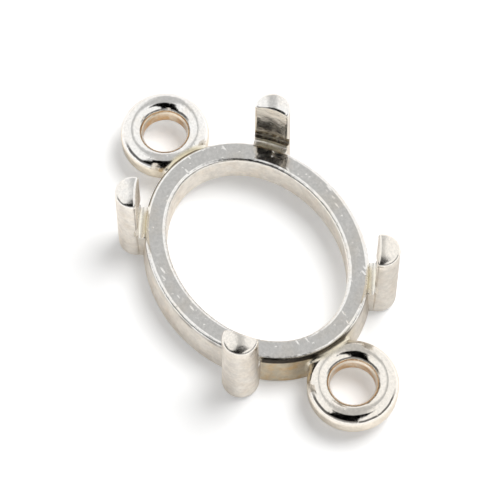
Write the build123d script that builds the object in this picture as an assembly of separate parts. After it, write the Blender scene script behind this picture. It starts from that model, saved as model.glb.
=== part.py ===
from build123d import *
import os

os.makedirs("parts", exist_ok=True)

# An open oval stone mounting with a hanging loop at each end, one piece of plated metal.
# Millimetres. X runs through the two loops, Z is up, and the base lies on z = 0.

# The stone that the mounting takes, and how far the ring stays inside its outline at each end and side
stone_length = 10.0
stone_width = 8.0
ring_inset_end = 0.26
ring_inset_side = 0.14

# Seat ring
ring_wall = 0.80
ring_height = 1.75
ring_flare = 0.14
band_rounding = 0.15
base_rounding = 0.12
underside_bevel_height = 0.50
underside_bevel_width = 0.25

# Prongs: a round tapering post outside the ring, cut flat along the stone's oval
prong_gap = 0.24
prong_foot_radius = 0.70
prong_tip_radius = 0.66
prong_core_offset = 0.13
prong_rise = 2.50
prong_dome_drop = 0.16
prong_tip_rounding = 0.20
prong_foot_rounding = 0.25
prong_edge_rounding = 0.10
prong_polar_angle = 40.5

# Groove in each prong for the stone's girdle
girdle_height = 0.36
girdle_slope = 0.24
girdle_depth = 0.16

# Webs between the ring and the prongs
web_width = 1.30
web_drop = 0.16
web_trough_depth = 0.03
web_side_rounding = 0.05

# Hanging loops
loop_hole_radius = 0.84
loop_section_width = 0.85
loop_section_height = 1.20
loop_crown_width = 0.02
loop_overlap = 0.19
loop_mid_height = 0.94
joint_fillet = 0.16

# How far a cutting shape passes what it cuts
cut_margin = 1.0

ring_outer_x = stone_length / 2 - ring_inset_end
ring_outer_y = stone_width / 2 - ring_inset_side
ring_inner_x = ring_outer_x - ring_wall
ring_inner_y = ring_outer_y - ring_wall
room_x = ring_outer_x + prong_gap
room_y = ring_outer_y + prong_gap
prong_top = ring_height + prong_rise
loop_outer_radius = loop_hole_radius + loop_section_width
loop_centre_x = ring_outer_x + loop_outer_radius - loop_overlap


def oval(half_x, half_y, height=0.0):
    """A flat oval at a height."""
    return Pos(0, 0, height) * Ellipse(half_x, half_y)


def oval_block(half_x, half_y, bottom, top):
    """An upright oval cylinder between two heights."""
    return extrude(oval(half_x, half_y, bottom), top - bottom)


def seat_ring():
    """The oval ring: flat band with rounded edges, flared outer wall, bevelled underside of the opening."""
    foot = oval(ring_outer_x + ring_flare, ring_outer_y + ring_flare)
    crown = oval(ring_outer_x, ring_outer_y, ring_height)
    ring = loft([foot, crown]) - oval_block(ring_inner_x, ring_inner_y, 0, ring_height)
    ring = fillet(ring.edges().group_by(Axis.Z)[-1], band_rounding)
    outer_base = ring.edges().group_by(Axis.Z)[0].sort_by(SortBy.LENGTH)[-1]
    ring = fillet(outer_base, base_rounding)
    bevel_foot = oval(ring_inner_x + underside_bevel_width, ring_inner_y + underside_bevel_width)
    bevel_head = oval(ring_inner_x, ring_inner_y, underside_bevel_height)
    return ring - loft([bevel_foot, bevel_head])


def prong_post():
    """A whole round post, turned from its half outline: rounded foot, slight taper, domed tip."""
    axis_foot = (0, 0)
    side_foot = (prong_foot_radius, 0)
    side_head = (prong_tip_radius, prong_top - prong_dome_drop)
    axis_head = (0, prong_top)
    dome = TangentArc(axis_head, side_head, tangent=(1, 0))
    outline = Line(axis_foot, side_foot) + Line(side_foot, side_head) + dome + Line(axis_head, axis_foot)
    half = make_face(outline)
    corners = half.vertices().group_by(Axis.X)
    half = fillet(corners[-1], prong_foot_rounding)
    shoulder = half.vertices().sort_by_distance((prong_tip_radius, prong_top - prong_dome_drop, 0))[0]
    half = fillet(shoulder, prong_tip_rounding)
    return revolve(Plane.XZ * half, Axis.Z)


def girdle_groove(bend):
    """The groove that takes the stone's girdle: upright at the band, sloped towards the prong's tip."""
    slope_start = ring_height + girdle_height
    upright = Pos(0, 0, ring_height + girdle_height / 2) * Cylinder(bend + girdle_depth, girdle_height)
    slope = Pos(0, 0, slope_start + girdle_slope / 2) * Cone(bend + girdle_depth, bend, girdle_slope)
    return upright + slope


def prong(bend):
    """One prong with its inner face across the origin. That face bends with the stone's oval."""
    post = Pos(prong_core_offset, 0, 0) * prong_post()
    post -= Pos(-bend, 0, prong_top / 2) * Cylinder(bend, prong_top + 2 * cut_margin)
    inner_face = post.faces().filter_by(GeomType.CYLINDER).sort_by(SortBy.AREA)[-1]
    post = fillet(inner_face.edges(), prong_edge_rounding)
    return post - Pos(-bend, 0, 0) * girdle_groove(bend)


def web():
    """The web that carries a prong, with its middle on the ring's outer wall and its length along X."""
    reach_in = ring_wall / 2
    reach_out = prong_gap + 2 * prong_core_offset
    height = ring_height - web_drop - base_rounding
    block = Box(reach_in + reach_out, web_width, height)
    block = fillet(block.edges().filter_by(Axis.X).group_by(Axis.Z)[-1], web_side_rounding)
    trough_radius = (prong_gap**2 / 4 + web_trough_depth**2) / (2 * web_trough_depth)
    trough_lift = height / 2 + trough_radius - web_trough_depth
    trough = Rot(90, 0, 0) * Cylinder(trough_radius, web_width + 2 * cut_margin)
    block = Pos((reach_out - reach_in) / 2, 0, 0) * block - Pos(prong_gap / 2, 0, trough_lift) * trough
    return Pos(0, 0, base_rounding + height / 2) * block


def claw():
    """One prong with its web, at its place on the ring."""
    ray = Vector(1, 0, 0).rotate(Axis.Z, prong_polar_angle)
    foot = ray * ((ray.X / ring_outer_x) ** 2 + (ray.Y / ring_outer_y) ** 2) ** -0.5
    outward = Vector(foot.X / ring_outer_x**2, foot.Y / ring_outer_y**2, 0).normalized()
    heading = Vector(1, 0, 0).get_signed_angle(outward, Vector(0, 0, 1))
    room_reach = ((room_x * outward.X) ** 2 + (room_y * outward.Y) ** 2) ** 0.5
    bend = (room_x * room_y) ** 2 / room_reach**3
    on_ring = Pos(foot.X, foot.Y, 0) * Rot(0, 0, heading)
    return on_ring * (Pos(prong_gap, 0, 0) * prong(bend) + web())


def hanging_loop():
    """A closed round loop of rounded section. Its hole keeps a short round land at mid height."""
    rounding = (loop_section_width - loop_crown_width) / 2
    section = RectangleRounded(loop_section_width, loop_section_height, rounding)
    section = Plane.XZ * Pos(loop_hole_radius + loop_section_width / 2, 0) * section
    return revolve(section, Axis.Z)


body = seat_ring()
for end in (-1, 1):
    body += Pos(end * loop_centre_x, 0, loop_mid_height) * Rot(0, 0, 90) * hanging_loop()

# Casting fillets where the loops meet the ring's outer wall: short curved edges at its two ends
longest_joint_edge = loop_section_width + loop_section_height
joint_edges = body.edges().filter_by(GeomType.BSPLINE)
joint_edges = joint_edges.filter_by(lambda edge: abs(edge.center().X) > ring_inner_x)
joint_edges = joint_edges.filter_by(lambda edge: edge.length < longest_joint_edge)
joint_edges = joint_edges.filter_by(lambda edge: edge.bounding_box().size.Y > base_rounding)
body = fillet(joint_edges, joint_fillet)

near_claw = claw()
right_pair = [near_claw, mirror(near_claw, Plane.XZ)]
claws = right_pair + [mirror(each, Plane.YZ) for each in right_pair]
for each in claws:
    body += each

print("solids", len(body.solids()), "volume", body.volume, body.bounding_box())
export_step(body, "parts/mounting.step")
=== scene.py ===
# An open oval prong setting with two hanging loops, silver plated, lying on a pale table.
import math

import bpy
from mathutils import Matrix, Vector

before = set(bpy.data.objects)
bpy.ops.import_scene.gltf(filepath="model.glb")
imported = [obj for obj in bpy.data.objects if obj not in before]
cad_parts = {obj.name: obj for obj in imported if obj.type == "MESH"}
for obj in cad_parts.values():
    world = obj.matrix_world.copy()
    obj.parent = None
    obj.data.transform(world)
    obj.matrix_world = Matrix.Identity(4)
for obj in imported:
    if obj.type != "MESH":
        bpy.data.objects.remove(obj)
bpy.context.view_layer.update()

MM = 0.001

# Sizes of the mounting that the finishes follow, in millimetres
ring_half_length = 4.74
ring_half_width = 3.86
ring_top = 1.75
prong_top = 4.25
web_place = (3.34, 2.89)
joint_place = (ring_half_length, 0)
loop_place = (6.24, 0)
loop_hole = 0.84
loop_middle = 0.94

# The photograph's view, in degrees and millimetres: the camera looks down across the long axis, which
# runs from upper left to lower right. The camera sees what lies between its two limits, in metres
camera_azimuth = 55.9
camera_elevation = 64.5
camera_distance = 88.9
camera_lens = 172.8
camera_limits = (0.001, 2)
aim_right = -0.248
aim_up = -0.059

# The light tent, in strengths, degrees and sideways shares: bright walls left and right, a grey strip
# overhead and behind, a dark gap in front, where the camera looks in, and a dark foot along the front
tent_colour = (1.0, 0.995, 0.985)
wall_light = 1.02
strip_light = 0.55
strip_edge = (0.08, 0.26)
strip_end = (152, 166)
gap_top = (80, 89)
gap_slant = (31, 84)
gap_middle = (-0.26, 0.04)
gap_half_width = (0.46, 0.33)
gap_blur = 0.05
gap_foot = (8, 26)
gap_foot_light = 0.40
foot_side = (0.2, -0.5)
foot_height = (0.33, 0.46)
foot_blur = 0.07
foot_light = 0.14
foot_front = (-0.25, 0.10)
fill_share = 0.50

# The key soft box, in metres and watts
key_place = (0.105, -0.072, 0.26)
key_size = 0.16
key_power = 0.66

# The table, in metres. It glows a little, which keeps its shadows light
table_size = 0.6
table_glow = 0.235
paper = (0.92, 0.92, 0.92)
paper_roughness = 0.6

# Plate colours
silver = (0.93, 0.92, 0.90)
warm_silver = (0.92, 0.86, 0.77)
wall_silver = (0.88, 0.83, 0.755)
gold = (1.0, 0.96, 0.85)
tarnish = (0.70, 0.50, 0.27)
copper = (0.72, 0.47, 0.25)
loop_warmth = (0.87, 0.79, 0.65)
seam_gold = (0.84, 0.76, 0.56)
# Painted shade for the groove of the far prong
painted_groove_shade = (0.32, 0.24, 0.13)
wall_brown = (0.60, 0.52, 0.38)
# Painted shade for the line under the band
painted_crease_shade = (0.04, 0.035, 0.03)
edge_tint = (0.80, 0.76, 0.72)

# How strongly some of the colours cover
wall_silver_share = 0.8
loop_warmth_share = 0.9
face_brown_share = 0.35
end_brown_share = 0.8
web_brown_share = 0.6
least_stain = 0.15
end_line_share = 0.98

# Borders of the places on the plate. Each is a smooth step from outside the place to inside it.
# By slope: how far the surface faces up or down, only up, or out of the oval
steep_slope = (0.55, 0.15)
level_slope = (0.90, 0.98)
web_slope = (0.6, 0.9)
face_slope = (-0.55, -0.85)
groove_slope = (-0.3, -0.6)
wall_slope = (0.3, 0.6)
outside_slope = (-0.2, 0.2)

# By height, in millimetres
band_foot = (ring_top - 0.1, ring_top - 0.03)
band_head = (ring_top + 0.1, ring_top + 0.03)
edge_foot = (ring_top - 0.22, ring_top - 0.12)
edge_head = (ring_top + 0.04, ring_top)
face_foot = (ring_top + 0.02, ring_top + 0.12)
groove_foot = (ring_top + 0.02, ring_top + 0.06)
groove_head = (ring_top + 0.60, ring_top + 0.50)
web_head = (ring_top + 0.45, ring_top + 0.1)
tip_foot = (prong_top - 0.75, prong_top - 0.35)
wear_head = (loop_middle + 0.30, loop_middle + 0.05)

# By distance, in millimetres, and in shares of the ring's outer oval
loop_start = (ring_half_length - 0.1, ring_half_length + 0.25)
web_reach = (0.75, 0.25)
web_clearance = (0.58, 0.74)
joint_reach = (1.5, 0.3)
hole_reach = (loop_hole + 0.20, loop_hole + 0.04)
end_start = (2.6, 3.4)
front_start = (1.2, 0.2)
far_prong_along = (-1.5, -2.5)
far_prong_across = (1.5, 2.5)
seam_start = (0.99, 1.01)
seam_end = (1.075, 1.035)
ring_end = (1.06, 1.03)

# The dark line under the band, painted shade where a crease would be shaded: the heights of its foot and
# head along the sides, and at the ends
line_foot = (ring_top - 0.24, ring_top - 0.29)
line_head = (ring_top - 0.08, ring_top - 0.03)
line_blur = 0.03

# Slow changes over the whole piece: the warm end, and painted light and shade on the outer walls, lighter
# towards one side and darker towards the other along this direction
warm_end = (-1, 4, 0, 0.6)
painted_shade_side = (0.56, 0.83, 0)
painted_side_light_step = (-5, 5, 1.08, 0.82)

# Uneven patches: the scale, detail and roughness of the noise, and the smooth step that cuts it, with
# its value at each end where that isn't 0 and 1
warm_clouds = ((0.9, 3), (0.40, 0.72, 0, 0.55))
# The patches of painted shade in the far prong's groove
groove_shade_patches = ((4.5, 4, 0.6), (0.66, 0.46, 0.25, 0.95))
stain_patches = ((1.7, 4, 0.6), (0.40, 0.75))
wear_patches = ((2.6, 3, 0.6), (0.36, 0.60, 0.35, 1.0))
line_patches = ((1.4, 2), (0.40, 0.60, 0.15, 0.5))
fine_mottle = ((10, 3, 0.6), (0.25, 0.75, 0.92, 1.04))
wall_blotches = ((3.2, 3, 0.55), (0.3, 0.7, 0.88, 1.02))
fine_grit = ((9, 3, 0.6), (0.3, 0.7, -0.03, 0.05))

# Roughness, depth of grain and depth of pits in each place. Each line lies over those before it
roughness_of = {
    "flat": 0.20,
    "steep": 0.42,
    "face": 0.16,
    "band": 0.10,
    "web": 0.30,
    "loop": 0.10,
    "seam": 0.32,
    "tip": 0.19,
}
grain_of = {
    "flat": 0.6,
    "steep": 1.2,
    "polished": 0.3,
    "face": 1.1,
    "groove": 4.0,
    "edge": 1.8,
    "band": 0.35,
}
pits_of = {
    "flat": 1.0,
    "polished": 0.3,
    "inner": 0.1,
}

# Relief: noises, depths in millimetres, and how much of the casting's waves is left where it is polished
wave_noise = (1.8, 2, 0.45)
wave_depth = 0.030
polished_waves = 0.5
grain_noise = (11, 4, 0.6)
grain_depth = 0.006
pit_depth = 0.012
scratch_depth = 0.010

# Spots in some of the cells of a pattern: its scale, the colour channel that picks the cells, the
# spot's rim, and the step in that channel where the picked cells begin
pits = (6, 0, (0.22, 0.02), (0.72, 0.80))
scratches = (1, 1, (0.32, 0.05), (0.80, 0.86))
scratch_turn = -50
scratch_stretch = (1.6, 9, 1)


class Graph:
    """A node tree, with short ways to add the nodes that the finishes need."""

    def __init__(self, tree):
        self.tree = tree

    def add(self, kind, **settings):
        made = self.tree.nodes.new(kind)
        for name, value in settings.items():
            setattr(made, name, value)
        return made

    def feed(self, socket, value):
        """Link a socket to an output, or give it a plain number or colour."""
        if isinstance(value, bpy.types.NodeSocket):
            self.tree.links.new(value, socket)
        elif isinstance(value, tuple) and len(socket.default_value) == 4:
            socket.default_value = (*value, 1)
        else:
            socket.default_value = value

    def calc(self, operation, *values, clamp=False):
        made = self.add("ShaderNodeMath", operation=operation, use_clamp=clamp)
        for socket, value in zip(made.inputs, values):
            self.feed(socket, value)
        return made.outputs[0]

    def product(self, first, *others):
        """Numbers multiplied with each other. Of masks, it is the place that they share."""
        for other in others:
            first = self.calc("MULTIPLY", first, other)
        return first

    def outside(self, mask):
        return self.calc("SUBTRACT", 1.0, mask)

    def vector(self, operation, *values, output="Vector"):
        made = self.add("ShaderNodeVectorMath", operation=operation)
        for socket, value in zip(made.inputs, values):
            self.feed(socket, value)
        return made.outputs[output]

    def split(self, vector):
        made = self.add("ShaderNodeSeparateXYZ")
        self.feed(made.inputs[0], vector)
        return made.outputs

    def ramp(self, value, start, end, low=0.0, high=1.0):
        """A smooth step from low at start to high at end. Start may be above end."""
        made = self.add("ShaderNodeMapRange", interpolation_type="SMOOTHSTEP")
        if start > end:
            start, end, low, high = end, start, high, low
        limits = {"From Min": start, "From Max": end, "To Min": low, "To Max": high}
        for name, number in limits.items():
            made.inputs[name].default_value = number
        self.feed(made.inputs["Value"], value)
        return made.outputs["Result"]

    def noise(self, place, scale, detail=2.0, roughness=0.5):
        made = self.add("ShaderNodeTexNoise")
        self.feed(made.inputs["Vector"], place)
        made.inputs["Scale"].default_value = scale
        made.inputs["Detail"].default_value = detail
        made.inputs["Roughness"].default_value = roughness
        return made.outputs["Fac"]

    def patches(self, place, pattern):
        """Uneven patches: noise cut with a smooth step."""
        noise, step = pattern
        return self.ramp(self.noise(place, *noise), *step)

    def spots(self, place, scale, channel, rim, picked):
        """Spots in the middles of some of a pattern's cells."""
        cells = self.add("ShaderNodeTexVoronoi")
        self.feed(cells.inputs["Vector"], place)
        cells.inputs["Scale"].default_value = scale
        colour = self.add("ShaderNodeSeparateColor")
        self.feed(colour.inputs[0], cells.outputs["Color"])
        return self.product(
            self.ramp(cells.outputs["Distance"], *rim),
            self.ramp(colour.outputs[channel], *picked),
        )

    def blend(self, mask, under, over):
        """One colour over another, by a mask."""
        made = self.add("ShaderNodeMix", data_type="RGBA")
        self.feed(made.inputs["Factor"], mask)
        colours = [socket for socket in made.inputs if socket.type == "RGBA"]
        self.feed(colours[0], under)
        self.feed(colours[1], over)
        return [socket for socket in made.outputs if socket.type == "RGBA"][0]

    def mix(self, mask, under, over):
        """One number over another, by a mask."""
        made = self.add("ShaderNodeMix", data_type="FLOAT")
        self.feed(made.inputs["Factor"], mask)
        numbers = [socket for socket in made.inputs if socket.type == "VALUE" and socket.name != "Factor"]
        self.feed(numbers[0], under)
        self.feed(numbers[1], over)
        return made.outputs["Result"]

    def layers(self, at, amounts):
        """The amounts for the places on the plate, laid over the one for flat places."""
        level = amounts["flat"]
        for place, amount in amounts.items():
            if place != "flat":
                level = self.mix(at[place], level, amount)
        return level

    def bump(self, height, distance, normal=None):
        made = self.add("ShaderNodeBump")
        made.inputs["Distance"].default_value = distance * MM
        self.feed(made.inputs["Height"], height)
        if normal is not None:
            self.feed(made.inputs["Normal"], normal)
        return made.outputs["Normal"]


def view_directions(azimuth, elevation):
    """Right, up and backward directions of a level camera."""
    turn = math.radians(azimuth)
    rise = math.radians(elevation)
    back = Vector((math.sin(turn) * math.cos(rise), -math.cos(turn) * math.cos(rise), math.sin(rise)))
    right = Vector((math.cos(turn), math.sin(turn), 0))
    return right, back.cross(right), back


def place_camera():
    right, up, back = view_directions(camera_azimuth, camera_elevation)
    target = Vector((0, 0, ring_top)) + right * aim_right + up * aim_up
    data = bpy.data.cameras.new("product_camera")
    data.lens = camera_lens
    data.clip_start, data.clip_end = camera_limits
    camera = bpy.data.objects.new("product_camera", data)
    bpy.context.collection.objects.link(camera)
    turn = Matrix((right, up, back)).transposed().to_4x4()
    camera.matrix_world = Matrix.Translation((target + back * camera_distance) * MM) @ turn
    bpy.context.scene.camera = camera


def light_tent():
    """The surroundings that the plate mirrors, fixed in the room. The floor gets a share of their light."""
    right, _, towards = view_directions(camera_azimuth, 0)
    world = bpy.data.worlds.new("light_tent")
    world.use_nodes = True
    bpy.context.scene.world = world
    tent = Graph(world.node_tree)
    look = tent.add("ShaderNodeTexCoord").outputs["Generated"]
    aside = tent.vector("DOT_PRODUCT", look, tuple(right), output="Value")
    forward = tent.vector("DOT_PRODUCT", look, tuple(towards), output="Value")
    upward = tent.split(look)["Z"]
    arch = tent.calc("DEGREES", tent.calc("ARCTAN2", upward, forward))

    strip = tent.ramp(tent.calc("ABSOLUTE", aside), *strip_edge, 1, 0)
    strip = tent.product(strip, tent.ramp(arch, *strip_end, 1, 0))
    off_gap = tent.calc("SUBTRACT", aside, tent.ramp(arch, *gap_slant, *gap_middle))
    half_width = tent.ramp(arch, *gap_slant, *gap_half_width)
    in_gap = tent.calc("SUBTRACT", half_width, tent.calc("ABSOLUTE", off_gap))
    gap = tent.product(tent.ramp(in_gap, -gap_blur, gap_blur), tent.ramp(arch, *gap_top, 1, 0))
    below = tent.calc("SUBTRACT", tent.ramp(aside, *foot_side, *foot_height), upward)
    foot = tent.product(tent.ramp(below, -foot_blur, foot_blur), tent.ramp(forward, *foot_front))

    level = tent.mix(strip, wall_light, strip_light)
    level = tent.mix(foot, level, foot_light)
    level = tent.mix(gap, level, tent.ramp(arch, *gap_foot, gap_foot_light, 0.0))
    fill = tent.add("ShaderNodeLightPath").outputs["Is Diffuse Ray"]
    level = tent.product(level, tent.mix(fill, 1.0, fill_share))
    background = world.node_tree.nodes["Background"]
    tent.feed(background.inputs["Color"], tent_colour)
    tent.feed(background.inputs["Strength"], level)


def key_light():
    """A soft box high on the right and behind, which casts the short shadows to the lower left."""
    right, _, towards = view_directions(camera_azimuth, 0)
    place = right * key_place[0] + towards * key_place[1] + Vector((0, 0, key_place[2]))
    data = bpy.data.lights.new("key_box", "AREA")
    data.shape = "SQUARE"
    data.size = key_size
    data.energy = key_power
    light = bpy.data.objects.new("key_box", data)
    bpy.context.collection.objects.link(light)
    light.visible_glossy = False
    light.location = place
    light.rotation_euler = place.to_track_quat("Z", "Y").to_euler()


def plate_places(graph):
    """The places on the plate as masks, by name, and the coordinates in millimetres."""
    coordinates = graph.add("ShaderNodeTexCoord")
    place = graph.vector("MULTIPLY", coordinates.outputs["Object"], (1 / MM, 1 / MM, 1 / MM))
    along, across, height = graph.split(place)
    from_middle = graph.calc("ABSOLUTE", along)
    from_axis = graph.calc("ABSOLUTE", across)

    # Where on the ring's oval, and which way the surface faces
    oval = (1 / ring_half_length, 1 / ring_half_width, 0)
    oval_reach = graph.vector("LENGTH", graph.vector("MULTIPLY", place, oval), output="Value")
    outward = graph.vector("MULTIPLY", place, (ring_half_length**-2, ring_half_width**-2, 0))
    outward = graph.vector("NORMALIZE", outward)
    facing = coordinates.outputs["Normal"]
    facing_out = graph.vector("DOT_PRODUCT", facing, outward, output="Value")
    facing_up = graph.split(facing)["Z"]

    def distance(upright):
        """How far the surface is from an upright line through a point, or through its mirror points."""
        gap_x = graph.calc("POWER", graph.calc("SUBTRACT", from_middle, upright[0]), 2)
        gap_y = graph.calc("POWER", graph.calc("SUBTRACT", from_axis, upright[1]), 2)
        return graph.calc("SQRT", graph.calc("ADD", gap_x, gap_y))

    steep = graph.ramp(graph.calc("ABSOLUTE", facing_up), *steep_slope)
    band = graph.product(
        graph.ramp(facing_up, *level_slope),
        graph.ramp(height, *band_foot),
        graph.ramp(height, *band_head),
    )
    off_band = graph.outside(band)

    # The loops, their worn holes and the joints
    loop = graph.ramp(from_middle, *loop_start)
    off_loop = graph.outside(loop)
    worn_hole = graph.product(
        graph.ramp(distance(loop_place), *hole_reach),
        graph.ramp(height, *wear_head),
    )
    joint = graph.ramp(distance(joint_place), *joint_reach)
    seam = graph.product(
        graph.ramp(oval_reach, *seam_start),
        graph.ramp(oval_reach, *seam_end),
        joint,
        off_band,
    )

    # The prongs: tips, faces towards the stone, grooves and webs
    tip = graph.ramp(height, *tip_foot)
    polished = graph.calc("MAXIMUM", loop, tip)
    face = graph.product(graph.ramp(facing_out, *face_slope), graph.ramp(height, *face_foot))
    groove = graph.product(
        graph.ramp(facing_out, *groove_slope),
        graph.ramp(height, *groove_foot),
        graph.ramp(height, *groove_head),
    )
    far_prong = graph.product(
        graph.ramp(along, *far_prong_along),
        graph.ramp(across, *far_prong_across),
    )
    from_web = distance(web_place)
    near_web = graph.product(graph.ramp(from_web, *web_reach), graph.ramp(height, *web_head))
    web = graph.product(near_web, graph.ramp(facing_up, *web_slope), off_band)

    # The ring's rounded edges, its outer wall, and that wall's browner ends
    ring = graph.ramp(oval_reach, *ring_end)
    edge = graph.product(
        graph.ramp(height, *edge_foot),
        graph.ramp(height, *edge_head),
        ring,
        off_band,
    )
    outer_wall = graph.product(
        ring,
        graph.ramp(from_web, *web_clearance),
        graph.ramp(facing_out, *wall_slope),
    )
    end = graph.product(graph.ramp(from_middle, *end_start), graph.ramp(across, *front_start))
    browned = graph.calc("MAXIMUM", joint, graph.product(near_web, web_brown_share))
    end_wall = graph.product(graph.calc("MAXIMUM", browned, end), outer_wall)

    # The dark line along the top of the outer wall: painted shade under the band
    above_foot = graph.calc("SUBTRACT", height, graph.mix(end, *line_foot))
    below_head = graph.calc("SUBTRACT", graph.mix(end, *line_head), height)
    line = graph.product(
        graph.ramp(above_foot, -line_blur, line_blur),
        graph.ramp(below_head, -line_blur, line_blur),
        outer_wall,
        off_band,
        off_loop,
    )

    return {
        "place": place,
        "along": along,
        "steep": steep,
        "band": band,
        "loop": loop,
        "worn_hole": worn_hole,
        "seam": seam,
        "tip": tip,
        "polished": polished,
        "face": face,
        "groove": groove,
        "inner": graph.calc("MAXIMUM", face, groove),
        "far_groove": graph.product(groove, far_prong),
        "web": web,
        "web_side": graph.product(near_web, off_band),
        "edge": edge,
        "wall": graph.product(steep, off_loop),
        "outer_side": graph.product(steep, graph.ramp(facing_out, *outside_slope), off_loop),
        "end_wall": end_wall,
        "line": line,
    }


def plate_colour(graph, at):
    """The tints from the widest to the smallest, among them painted shade in the far prong's groove and
    under the band, and then light and dark patches and painted light and shade on the outer walls over all
    of them.
    """
    place = at["place"]
    stain_share = graph.calc("ADD", at["end_wall"], least_stain, clamp=True)
    line_share = graph.mix(at["end_wall"], graph.patches(place, line_patches), end_line_share)
    tints = (
        (graph.patches(place, warm_clouds), warm_silver),
        (graph.product(at["steep"], wall_silver_share), wall_silver),
        (graph.product(at["steep"], at["loop"], loop_warmth_share), loop_warmth),
        (graph.product(at["face"], face_brown_share), wall_brown),
        (at["web_side"], gold),
        (at["seam"], seam_gold),
        # Painted shade: dark brown patches in the far prong's groove
        (graph.product(at["far_groove"], graph.patches(place, groove_shade_patches)), painted_groove_shade),
        (graph.product(at["end_wall"], end_brown_share), wall_brown),
        (graph.product(graph.patches(place, stain_patches), at["wall"], stain_share), tarnish),
        (graph.product(at["polished"], graph.ramp(at["along"], *warm_end)), warm_silver),
        (graph.product(at["worn_hole"], graph.patches(place, wear_patches)), copper),
        # Painted shade: the dark line under the band
        (graph.product(at["line"], line_share), painted_crease_shade),
    )
    colour = silver
    for mask, tint in tints:
        colour = graph.blend(mask, colour, tint)

    blotches = graph.mix(at["steep"], 1.0, graph.patches(place, wall_blotches))
    # Painted light and shade: the outer walls are lighter towards one side and darker towards the other
    towards_painted_shade = graph.vector("DOT_PRODUCT", place, painted_shade_side, output="Value")
    painted_side_light = graph.mix(at["outer_side"], 1.0, graph.ramp(towards_painted_shade, *painted_side_light_step))
    shade = graph.product(graph.patches(place, fine_mottle), blotches, painted_side_light)
    return graph.vector("MINIMUM", graph.vector("MULTIPLY", colour, shade), (1, 1, 1))


def plate_relief(graph, at):
    """Slow waves of the casting, fine grain, small pits that catch the light, scratches on the band."""
    place = at["place"]
    waves = graph.mix(at["polished"], 1.0, polished_waves)
    waves = graph.product(graph.noise(place, *wave_noise), waves)
    normal = graph.bump(waves, wave_depth)
    grain = graph.product(graph.noise(place, *grain_noise), graph.layers(at, grain_of))
    normal = graph.bump(grain, grain_depth, normal)
    pit = graph.product(graph.spots(place, *pits), graph.layers(at, pits_of))
    normal = graph.bump(pit, pit_depth, normal)
    slant = graph.add("ShaderNodeMapping")
    graph.feed(slant.inputs["Vector"], place)
    slant.inputs["Rotation"].default_value = (0, 0, math.radians(scratch_turn))
    slant.inputs["Scale"].default_value = scratch_stretch
    scratch = graph.product(graph.spots(slant.outputs["Vector"], *scratches), at["band"])
    return graph.bump(scratch, scratch_depth, normal)


def plate_finish():
    """Bright silver plate over a casting: polished loops and tips, satin band, rough walls, warm joints."""
    metal = bpy.data.materials.new("silver_plate")
    metal.use_nodes = True
    graph = Graph(metal.node_tree)
    at = plate_places(graph)
    grit = graph.patches(at["place"], fine_grit)
    roughness = graph.calc("ADD", graph.layers(at, roughness_of), grit)
    shader = metal.node_tree.nodes["Principled BSDF"]
    shader.inputs["Metallic"].default_value = 1
    shader.inputs["Specular Tint"].default_value = (*edge_tint, 1)
    graph.feed(shader.inputs["Base Color"], plate_colour(graph, at))
    graph.feed(shader.inputs["Roughness"], roughness)
    graph.feed(shader.inputs["Normal"], plate_relief(graph, at))
    return metal


def lay_table():
    bpy.ops.object.select_all(action="DESELECT")
    bpy.ops.mesh.primitive_plane_add(size=table_size, location=(0, 0, 0))
    table = bpy.context.object
    table.name = "table"
    sheet = bpy.data.materials.new("white_paper")
    sheet.use_nodes = True
    shader = sheet.node_tree.nodes["Principled BSDF"]
    shader.inputs["Base Color"].default_value = (*paper, 1)
    shader.inputs["Roughness"].default_value = paper_roughness
    shader.inputs["Emission Color"].default_value = (1, 1, 1, 1)
    shader.inputs["Emission Strength"].default_value = table_glow
    table.data.materials.append(sheet)


bpy.context.scene.view_settings.view_transform = "Standard"
place_camera()
light_tent()
key_light()
lay_table()
silver_plate = plate_finish()
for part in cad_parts.values():
    part.data.materials.clear()
    part.data.materials.append(silver_plate)
